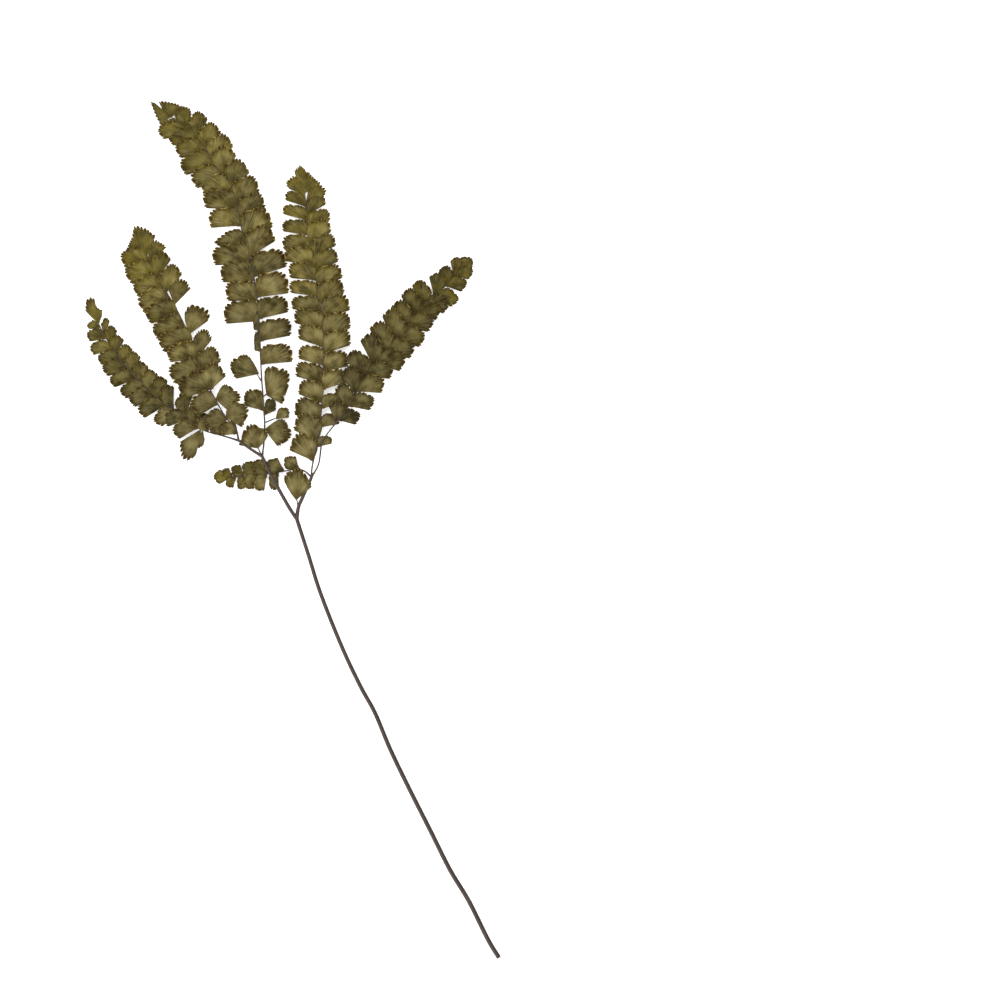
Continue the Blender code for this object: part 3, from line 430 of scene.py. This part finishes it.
# Pinnae. Each is a thin rachis, springy as wire, with leaflets on both sides that overlap like tiles and
# shrink to the end. The rows follow the rule of the part's own solids: count, distance of the first and last
# leaflet, crowding to the tip, and profiles of reach, height and forward lean, with seeded chance. The tone
# makes a pinna's leaf darker or lighter.
PINNAE = {
    "far_left": {
        "route": [
            (-29.7, 50.0, 7.0), (-39.2, 52.9, 5.4), (-44.8, 54.3, 4.2), (-51.5, 57.1, 3.0),
            (-61.0, 65.0, 1.9), (-71.1, 70.6, 1.6), (-80.6, 79.0, 1.6), (-90.7, 89.0, 1.6),
            (-99.1, 99.7, 1.5), (-104.7, 108.1, 1.3), (-108.6, 115.9, 1.2),
        ],
        "left": {"count": 12, "first": 24, "last": 104, "crowd": 0.05, "droop": 1.7, "skip": [11],
                 "reach": [13, 14, 14, 12, 8.5], "height": [10, 9.5, 9.5, 8.5, 7.5],
                 "lean": [22, 22, 20, 20, 24]},
        "right": {"count": 13, "first": 10, "last": 100, "crowd": 0.1, "droop": 1.6, "skip": [12],
                  "reach": [9, 13, 12, 10, 7.5], "height": [8, 9.5, 9.5, 8.5, 8],
                  "lean": [10, 20, 22, 22, 24]},
        "tone": -0.1,
    },
    "left": {
        "route": [
            (-29.7, 50.0, 7.0), (-31.4, 57.1, 8.3), (-37.0, 63.3, 8.8), (-43.1, 73.9, 8.4),
            (-49.3, 86.2, 6.7), (-53.2, 99.7, 4.6), (-58.2, 110.3, 3.2), (-64.4, 123.2, 2.2),
            (-71.1, 134.4, 1.8), (-78.4, 146.7, 1.4), (-81.6, 153.9, 1.1),
        ],
        "left": {"count": 13, "first": 4, "last": 113, "crowd": 0.12, "droop": 1.3,
                 "reach": [9, 16.5, 18.5, 17.5, 14], "height": [8, 12.3, 12, 11.5, 12],
                 "lean": [0, 0, 3, 12, 12]},
        "right": {"count": 9, "first": 33, "last": 112.5, "crowd": 0.1, "droop": 1.3, "skip": [2, 3, 4, 5, 8],
                  "reach": [13, 13.5, 13.5, 14, 13], "height": [12.5, 12, 12, 11.5, 11],
                  "lean": [6, 16, 20, 20, 18]},
        "tone": -0.05,
    },
    "tall": {
        "route": [
            (-16.5, 41.2, 7.0), (-15.7, 48.2, 5.6), (-15.3, 58.8, 3.8), (-16.0, 70.0, 2.6),
            (-17.1, 85.1, 2.0), (-17.6, 95.2, 1.8), (-18.2, 109.2, 1.7), (-19.6, 128.8, 1.7),
            (-22.1, 145.6, 1.7), (-25.8, 159.6, 1.7), (-28.6, 170.8, 1.7), (-31.9, 184.8, 1.7),
            (-35.8, 194.3, 1.6), (-42.6, 203.8, 1.6), (-48.7, 213.9, 1.6), (-55.4, 221.8, 1.5),
            (-62.2, 226.8, 1.5), (-68.5, 231.8, 1.4),
        ],
        "left": {"count": 18, "first": 26, "last": 199.5, "crowd": 0.3, "droop": 1.6,
                 "skip": [1, 2, 3, 8, 17], "reach": [12, 18.5, 19.5, 19, 17, 14],
                 "height": [12, 12.5, 12, 12, 11.5, 11], "lean": [20, -4, 6, 10, 18, 34]},
        "right": {"count": 16, "first": 52, "last": 200, "crowd": 0.34, "droop": 1.4, "skip": [15],
                  "reach": [17.5, 19, 17.5, 15.5, 14, 11.5], "height": [11.5, 13, 13, 12.5, 11.5, 10],
                  "lean": [4, 4, 10, 12, 8, 50]},
        "tone": -0.03,
    },
    "middle": {
        "route": [
            (11.2, 29.7, 7.4), (11.5, 35.8, 7.6), (14.6, 50.4, 7.8), (16.5, 66.1, 7.5), (17.1, 81.2, 7.4),
            (17.8, 100.8, 7.4), (17.1, 116.5, 7.2), (14.6, 131.6, 6.8), (12.3, 148.4, 5.6), (9.5, 163.5, 3.8),
            (7.8, 182.0, 2.0), (6.9, 189.6, 1.5),
        ],
        "left": {"count": 17, "first": 9, "last": 160.5, "crowd": 0.2, "droop": 0.9, "skip": [16],
                 "reach": [15, 15.5, 16.5, 16.5, 15.5, 11.5], "height": [13, 11.5, 11, 10, 9, 6.5],
                 "lean": [8, 13, 13, 13, 14, 32]},
        "right": {"count": 16, "first": 17, "last": 155.5, "crowd": 0.2, "droop": 3.0, "skip": [15],
                  "reach": [9, 15, 16.5, 16.5, 14.5, 12.5], "height": [6, 10.5, 12.5, 11.5, 10, 8],
                  "lean": [22, 15, 15, 14, 14, 22]},
        "tone": 0.05,
    },
    "right": {
        "route": [
            (11.2, 29.7, 7.4), (15.1, 37.0, 8.1), (16.8, 47.6, 9.6), (19.6, 53.2, 10.2), (29.7, 66.1, 10.5),
            (35.3, 75.0, 10.0), (40.9, 85.1, 8.9), (45.9, 93.0, 7.6), (52.6, 100.8, 6.2), (62.2, 113.1, 4.4),
            (72.6, 126.0, 2.3), (81.2, 132.7, 1.4), (90.2, 142.2, 1.1), (93.0, 145.2, 1.0),
        ],
        "left": {"count": 13, "first": 34, "last": 141, "crowd": 0.12, "droop": 0.2,
                 "reach": [11, 14.5, 16, 14.5, 12, 9], "height": [9.5, 11.5, 12, 11.5, 10, 8],
                 "lean": [22, 20, 20, 18, 20, 26]},
        "right": {"count": 13, "first": 36, "last": 141, "crowd": 0.12, "droop": 1.8,
                  "reach": [11, 14.5, 16, 14.5, 12, 9], "height": [9.5, 11.5, 12, 11.5, 10, 8],
                  "lean": [16, 18, 20, 18, 20, 26]},
        "tip": ((-36, 9.0), (30, 9.0)), "tone": -0.28,
    },
    "low": {
        "route": [
            (11.2, 29.7, 7.4), (6.7, 33.2, 6.4), (2.2, 34.0, 5.0), (-3.0, 33.2, 3.6), (-10.6, 31.9, 2.2),
            (-20.7, 31.1, 1.5), (-30.2, 29.8, 1.3), (-36.0, 29.8, 1.2),
        ],
        "left": {"count": 5, "first": 21, "last": 45, "crowd": 0.1, "droop": 0.9,
                 "reach": [10, 10, 9, 8, 6.5], "height": [6, 6, 6, 5, 5], "lean": [4, 6, 8, 10, 14]},
        "right": {"count": 6, "first": 9, "last": 47, "crowd": 0.15, "droop": 0.5,
                  "reach": [8, 8.5, 9, 7.5, 5.5], "height": [8, 10, 8.5, 7, 5],
                  "lean": [10, 10, 10, 10, 14]},
        "tip": ((-40, 7.0), (40, 7.5)), "tone": -0.04,
    },
}

# Leaflets that stand out of the rows: two at the stipe's forks, and some low on two pinnae, which hang on
# longer stalks of their own or are folded and seen edge on.
LONE_LEAFLETS = {
    "stipe": [
        {"twig": (3.4, 13.6, 6.9), "root": (2.5, 16.6, 7.4), "edge": (36, 12.5), "other": (121, 16.5),
         "drop": -0.6},
        {"twig": (-17.0, 42.0, 7.0), "root": (-18.8, 45.6, 7.2), "edge": (174, 12.0), "other": (52, 12.0),
         "drop": 1.4},
    ],
    "left": [
        {"root": (-36.9, 63.1, 8.8), "edge": (-36, 11.5), "other": (78, 11.0), "drop": 0.0},
        {"root": (-42.6, 73.0, 8.4), "edge": (-46, 11.5), "other": (62, 11.5), "drop": 0.0},
    ],
    "tall": [
        {"twig": (-16.3, 74.6, 2.3), "root": (-14.4, 75.4, 2.2), "edge": (-36, 11.5), "other": (93, 18.0),
         "drop": 0.5},
        {"twig": (-17.1, 83.2, 2.0), "root": (-18.4, 87.4, 2.0), "edge": (194, 14.0), "other": (120, 14.0),
         "drop": 1.0},
        {"root": (-17.6, 99.8, 1.8), "edge": (178, 3.6), "other": (92, 12.0), "drop": 0.2, "tone": -0.3},
        {"root": (-18.1, 111.5, 1.7), "edge": (178, 3.6), "other": (93, 12.0), "drop": 0.2, "tone": -0.3},
        {"root": (-15.3, 56.4, 4.2), "edge": (-56, 12.5), "other": (34, 12.5), "drop": 1.6},
        {"twig": (-15.5, 60.0, 3.7), "root": (-9.0, 62.0, 3.6), "edge": (4, 7.5), "other": (78, 7.0),
         "drop": 0.6},
        {"root": (-15.7, 64.0, 3.2), "edge": (22, 7.5), "other": (84, 9.5), "drop": 0.6, "tone": -0.35},
    ],
}

# Leaflets with outlines of their own: those at the tips, and some that are folded or stand apart. Each roots
# at a distance along its rachis, and its rim runs from its lower straight edge round to the upper one.
DRAWN_LEAFLETS = {
    "far_left": [
        {"station": 22.4, "drop": 1.6, "lift": 0.3, "rim": [
            (-53.5, 45.9), (-53.6, 43.1), (-54.6, 40.6), (-58.7, 38.6), (-62.2, 39.8),
            (-62.7, 43.2), (-63.2, 47.0), (-62.9, 49.3), (-59.4, 50.1), (-56.6, 52.1),
        ]},
        {"station": 21.8, "drop": 1.3, "lift": 0.5, "rim": [
            (-54.3, 47.0), (-52.1, 45.4), (-49.8, 47.0), (-48.9, 50.4), (-49.9, 53.4),
        ]},
        {"station": 106.0, "drop": 0.3, "lift": 0.0, "rim": [
            (-114.0, 120.8), (-116.3, 123.5), (-115.8, 126.6), (-115.8, 129.1), (-114.2, 129.9),
            (-113.0, 130.8), (-110.9, 129.8), (-110.2, 126.0), (-108.5, 124.2), (-106.5, 123.5),
            (-106.6, 120.1),
        ]},
        {"station": 104.0, "drop": 0.4, "lift": 0.6, "rim": [
            (-110.9, 112.8), (-114.0, 112.8), (-115.4, 114.2), (-114.5, 116.2), (-113.1, 116.8),
            (-111.9, 117.8), (-110.0, 116.8), (-108.6, 115.1),
        ]},
        {"station": 100.0, "drop": 0.4, "lift": 0.6, "rim": [
            (-103.2, 114.2), (-102.1, 117.6), (-103.3, 118.9), (-104.7, 119.3), (-106.0, 118.3),
            (-106.1, 116.8), (-107.2, 115.6),
        ]},
    ],
    "left": [
        {"station": 85.5, "drop": 1.2, "lift": 1.6, "rim": [
            (-56.7, 135.4), (-57.8, 137.5), (-58.8, 139.7), (-61.0, 140.8), (-63.8, 141.4),
            (-66.6, 140.3), (-68.6, 137.8), (-69.2, 134.4),
        ]},
        {"station": 67.0, "drop": 1.2, "lift": 1.2, "rim": [
            (-51.4, 115.9), (-49.6, 116.1), (-47.4, 116.9), (-45.8, 119.6), (-46.5, 123.6),
            (-49.3, 124.9), (-52.1, 125.6), (-55.2, 126.6), (-57.4, 126.4), (-59.5, 124.0),
            (-60.3, 121.2), (-59.9, 117.6),
        ]},
        {"station": 53.5, "drop": 1.2, "lift": 1.2, "rim": [
            (-45.2, 106.1), (-44.7, 108.6), (-45.9, 109.9), (-46.6, 112.2), (-49.6, 113.0),
            (-52.1, 112.0), (-53.5, 110.3), (-55.0, 108.1), (-55.2, 105.3),
        ]},
        {"station": 117.0, "drop": 0.3, "lift": 0.0, "rim": [
            (-90.4, 162.7), (-89.6, 166.9), (-88.8, 170.5), (-86.2, 170.8), (-81.0, 168.9),
            (-79.5, 167.2), (-76.6, 165.4), (-77.5, 162.7),
        ]},
        {"station": 116.4, "drop": 0.4, "lift": 0.4, "rim": [
            (-89.9, 156.2), (-93.7, 156.6), (-92.2, 159.9), (-90.9, 162.5), (-88.5, 162.7),
            (-85.7, 161.6),
        ]},
        {"station": 114.0, "drop": 0.4, "lift": 0.8, "rim": [
            (-74.8, 154.6), (-72.5, 156.4), (-70.4, 158.6), (-71.5, 160.0), (-73.9, 161.5),
            (-76.0, 162.8), (-78.1, 162.4), (-80.1, 160.7), (-81.0, 157.9),
        ]},
    ],
    "tall": [
        {"station": 121.5, "drop": 1.0, "lift": 1.2, "rim": [
            (-35.3, 158.9), (-41.7, 159.3), (-44.0, 160.7), (-43.5, 162.4), (-41.3, 164.1),
            (-39.5, 165.4), (-37.2, 167.4), (-34.2, 168.1), (-31.4, 169.1), (-28.8, 168.4),
            (-27.2, 166.0),
        ]},
        {"station": 196.6, "drop": 0.7, "lift": 0.8, "rim": [
            (-69.7, 221.2), (-72.2, 221.6), (-74.2, 223.7), (-75.2, 225.7), (-73.9, 227.1),
            (-72.0, 228.8), (-69.2, 230.4), (-66.1, 231.0),
        ]},
        {"station": 205.5, "drop": 0.45, "lift": 0.35, "rim": [
            (-73.8, 226.9), (-76.6, 231.6), (-78.2, 236.3), (-79.9, 240.4), (-77.4, 239.6),
            (-75.0, 237.4), (-72.8, 234.4), (-70.3, 232.7),
        ]},
        {"station": 205.0, "drop": 0.2, "lift": 0.3, "rim": [
            (-72.0, 233.8), (-73.5, 237.4), (-75.0, 240.2), (-72.2, 240.6), (-69.0, 240.0),
            (-66.6, 239.4), (-63.6, 238.7), (-62.2, 235.8),
        ]},
        {"station": 199.0, "drop": 0.4, "lift": 1.0, "rim": [
            (-56.8, 230.4), (-56.4, 233.8), (-56.8, 236.0), (-58.1, 237.0), (-60.5, 237.3),
            (-62.6, 237.0), (-65.0, 235.2), (-66.1, 232.4),
        ]},
    ],
    "middle": [
        {"station": 161.0, "drop": 0.2, "lift": 0.2, "rim": [
            (3.0, 197.5), (1.5, 199.6), (1.2, 201.8), (2.7, 203.4), (4.3, 204.8), (5.9, 203.6),
            (7.2, 202.4), (8.0, 200.5),
        ]},
        {"station": 160.4, "drop": 0.4, "lift": 0.4, "rim": [
            (11.5, 193.0), (14.0, 193.8), (16.4, 194.5), (13.2, 196.8), (10.8, 199.2), (9.3, 201.2),
            (7.8, 200.2),
        ]},
        {"station": 159.0, "drop": 0.4, "lift": 0.4, "rim": [
            (2.2, 190.0), (-1.9, 191.4), (-3.4, 193.0), (-3.6, 195.2), (-1.7, 197.1), (0.3, 198.8),
            (2.0, 198.2), (3.6, 196.6), (6.2, 193.8),
        ]},
        {"station": 155.0, "drop": 0.6, "lift": 0.6, "rim": [
            (12.9, 184.8), (17.0, 186.1), (18.6, 188.0), (19.6, 190.8), (16.0, 193.9), (13.4, 193.5),
            (10.9, 192.2), (9.0, 190.4),
        ]},
    ],
}


def walk(route, distance):
    """The point at this distance along the route, and the direction there."""
    for start, end in zip(route, route[1:]):
        length = (end - start).length
        if distance <= length:
            break
        distance -= length
    return start.lerp(end, distance / length), (end - start).normalized()


def profile(values, share):
    """A value between evenly spaced ones, at this share of the way from the first to the last."""
    place = share * (len(values) - 1)
    low = min(int(place), len(values) - 2)
    return values[low] + (values[low + 1] - values[low]) * (place - low)


# A row of leaflets. The first three lines are the rule of the solids' rows, and the next four are what the
# visible leaflets alone have, by chance except for the twist of a lone one. The three after them are the
# short stalks that they grow on. The leaf is youngest at a pinna's tip.
LEAN_SPREAD, SIZE_SPREAD, DROOP_SPREAD = 3.5, 0.05, 0.3
TILT, TILT_SPREAD = 9, 2
SEAM_LEAN = 2
TURN = 5
REACH_RANGE, HEIGHT_RANGE = (0.94, 1.04), (0.94, 1.1)
TONE_RANGE = (-0.2, 0.18)
TWIST, LONE_TWIST = 0.8, 0.2
STALK_LENGTH, STALK_RADII = 2.4, (0.3, 0.26, 0.18)
ROOT_GAP = 0.2
TWIG_SINK, TWIG_RADII = 2, (0.4, 0.36, 0.2)
YOUTH_POWER, DRAWN_YOUTH_POWER = 1.6, 3


def row_of_leaflets(name, route, row, side, chance, looks, tone, stalks):
    """The leaflets on one side of a rachis: side is 1 on the left of its direction and -1 on the right."""
    leaflets = []
    for index in range(row["count"]):
        share = index / (row["count"] - 1)
        spread = [chance.uniform(-1, 1) for _ in range(5)]
        if index in row.get("skip", ()):
            continue
        station = row["first"] + (row["last"] - row["first"]) * share * (1 + row["crowd"] * (1 - share))
        root, ahead = walk(route, station)
        heading = math.degrees(math.atan2(ahead.y, ahead.x))
        lean = profile(row["lean"], share) + LEAN_SPREAD * spread[0]
        reach = profile(row["reach"], share) * (1 + SIZE_SPREAD * spread[1])
        edge = bearing(heading + side * (90 - lean), reach)
        height = profile(row["height"], share) * (1 + SIZE_SPREAD * spread[2])
        other = bearing(heading - side * SEAM_LEAN, height)
        tilt = math.radians(TILT + TILT_SPREAD * spread[3])
        drop = row["droop"] * (1 + DROOP_SPREAD * spread[4])
        outwards = edge.normalized()
        stalk = [root, root + outwards * (STALK_LENGTH / 2), root + outwards * STALK_LENGTH]
        stalks.append((stalk, STALK_RADII))
        root = root + outwards * ROOT_GAP
        turned = Matrix.Rotation(math.radians(looks.uniform(-TURN, TURN)), 3, "Z")
        edge = turned @ edge * looks.uniform(*REACH_RANGE)
        other = turned @ other * looks.uniform(*HEIGHT_RANGE)
        pattern = looks.choice(patterns)
        twist = looks.uniform(-TWIST, TWIST)
        own_tone = tone + looks.uniform(*TONE_RANGE)
        leaflets.append(lay_leaflet(f"{name}_{index}", pattern, root, edge, other, tilt, drop, twist,
                                    own_tone, share**YOUTH_POWER))
    return leaflets


def lone_leaflets(name, looks, tone, stalks):
    """The leaflets of a pinna, or of the stipe, that stand out of the rows."""
    leaflets = []
    for index, lone in enumerate(LONE_LEAFLETS.get(name, ())):
        root, edge, other = placed(lone["root"]), bearing(*lone["edge"]), bearing(*lone["other"])
        if "twig" in lone:
            start = placed(lone["twig"])
            inside = root + (edge + other).normalized() * TWIG_SINK
            stalks.append(([start, start.lerp(inside, 0.5), inside], TWIG_RADII))
        leaflets.append(lay_leaflet(f"{name}_lone_{index}", looks.choice(patterns), root, edge, other, 0,
                                    lone["drop"], LONE_TWIST, tone + lone.get("tone", 0), 0.0))
    return leaflets


LEAF_SHARP = math.radians(60)


def finish_leaflets(name, leaflets, node):
    """Joins one pinna's leaflets and gives the leaf its thickness."""
    bpy.ops.object.select_all(action="DESELECT")
    for leaflet in leaflets:
        leaflet.select_set(True)
    blades = leaflets[0]
    bpy.context.view_layer.objects.active = blades
    bpy.ops.object.join()
    blades.name = name
    leaf_wall = blades.modifiers.new("leaf_thickness", "SOLIDIFY")
    leaf_wall.thickness = BLADE * MM
    leaf_wall.offset = 0
    bpy.ops.object.modifier_apply(modifier=leaf_wall.name)
    bpy.ops.object.shade_smooth_by_angle(angle=LEAF_SHARP)
    blades.data.materials.clear()
    blades.data.materials.append(dried_leaf)
    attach(blades, "root")
    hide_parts(node)


def finish_wires(name, runs, node):
    """Makes thin stems of one node."""
    rachis = wires(name, runs, THIN_ROUND)
    rachis.data.materials.append(polished)
    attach(rachis, "root")
    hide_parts(node)


# Each pinna's rachis is thickest where it leaves the arm, and thins to a hair at the tip.
STIPE_SEED, ROW_SEED, LOOKS_SEED = 5, 11, 40
STIPE_TONE = 0.02
TIP_OVERLAP, TIP_DROP, TIP_TWIST = 0.8, 0.5, 0.3
RACHIS_RADIUS, RACHIS_TAPER, RACHIS_POWER = 0.5, 0.26, 0.8
RACHIS_FOOT = [0.72, 0.66, 0.6, 0.55]

looks = random.Random(STIPE_SEED)
stalks = []
finish_leaflets("stipe_leaflets", lone_leaflets("stipe", looks, STIPE_TONE, stalks), "stalk")
finish_wires("stipe_leaflet_stalks", stalks, "stalk")

for seed, (name, pinna) in enumerate(PINNAE.items()):
    chance = random.Random(seed + ROW_SEED)
    looks = random.Random(seed + LOOKS_SEED)
    node = "pinna_" + name
    route = smooth_route(pinna["route"])
    length = sum((end - start).length for start, end in zip(route, route[1:]))
    stalks = []
    leaflets = []
    for side, label in ((1, "left"), (-1, "right")):
        leaflets += row_of_leaflets(f"{name}_{label}", route, pinna[label], side, chance, looks,
                                    pinna["tone"], stalks)
    if "tip" in pinna:
        (right_turn, right_length), (left_turn, left_length) = pinna["tip"]
        root, ahead = walk(route, length - TIP_OVERLAP)
        heading = math.degrees(math.atan2(ahead.y, ahead.x))
        edge = bearing(heading + right_turn, right_length)
        other = bearing(heading + left_turn, left_length)
        leaflets.append(lay_leaflet(f"{name}_tip", patterns[0], root, edge, other, 0, TIP_DROP, TIP_TWIST,
                                    pinna["tone"], 1.0))
    for index, drawn in enumerate(DRAWN_LEAFLETS.get(name, ())):
        root = walk(route, drawn["station"])[0]
        youth = (drawn["station"] / length) ** DRAWN_YOUTH_POWER
        leaflets.append(draw_leaflet(f"{name}_drawn_{index}", patterns[index % len(patterns)], root, drawn,
                                     pinna["tone"], youth))
    leaflets += lone_leaflets(name, looks, pinna["tone"], stalks)
    finish_leaflets(name + "_leaflets", leaflets, node)
    shares = [index / (len(route) - 1) for index in range(len(route))]
    radii = [RACHIS_RADIUS - RACHIS_TAPER * share**RACHIS_POWER for share in shares]
    radii[: len(RACHIS_FOOT)] = RACHIS_FOOT
    finish_wires(name + "_rachis", [(route, radii), *stalks], node)

for pattern in patterns:
    bpy.data.objects.remove(pattern["object"])

# Surface and light. The frond lies on a wide matt white sheet over a light table, under the even light of a
# studio tent, with one soft lamp up and to the left that gives each leaflet its shape.
bpy.ops.object.select_all(action="DESELECT")
bpy.ops.mesh.primitive_plane_add(size=8, location=(0, 0, -0.0001))
card = bpy.context.object
card.name = "white_card"
card_white = bpy.data.materials.new("matt_white_card")
card_white.use_nodes = True
shader = card_white.node_tree.nodes["Principled BSDF"]
shader.inputs["Base Color"].default_value = linear("#f6f6f6")
shader.inputs["Roughness"].default_value = 0.9
shader.inputs["Emission Color"].default_value = (1, 1, 1, 1)
shader.inputs["Emission Strength"].default_value = 0.4
card.data.materials.append(card_white)

tent = bpy.data.worlds.new("studio_tent")
tent.use_nodes = True
glow = tent.node_tree.nodes["Background"]
glow.inputs["Color"].default_value = (1, 1, 1, 1)
glow.inputs["Strength"].default_value = 1.5
bpy.context.scene.world = tent
bpy.ops.object.light_add(type="AREA", location=(-0.28, 0.38, 1.5))
lamp = bpy.context.object
lamp.data.size = 0.5
lamp.data.energy = 7
lamp.rotation_euler = (Vector((0, 0, 0)) - lamp.location).to_track_quat("-Z", "Y").to_euler()
bpy.context.scene.view_settings.view_transform = "Standard"
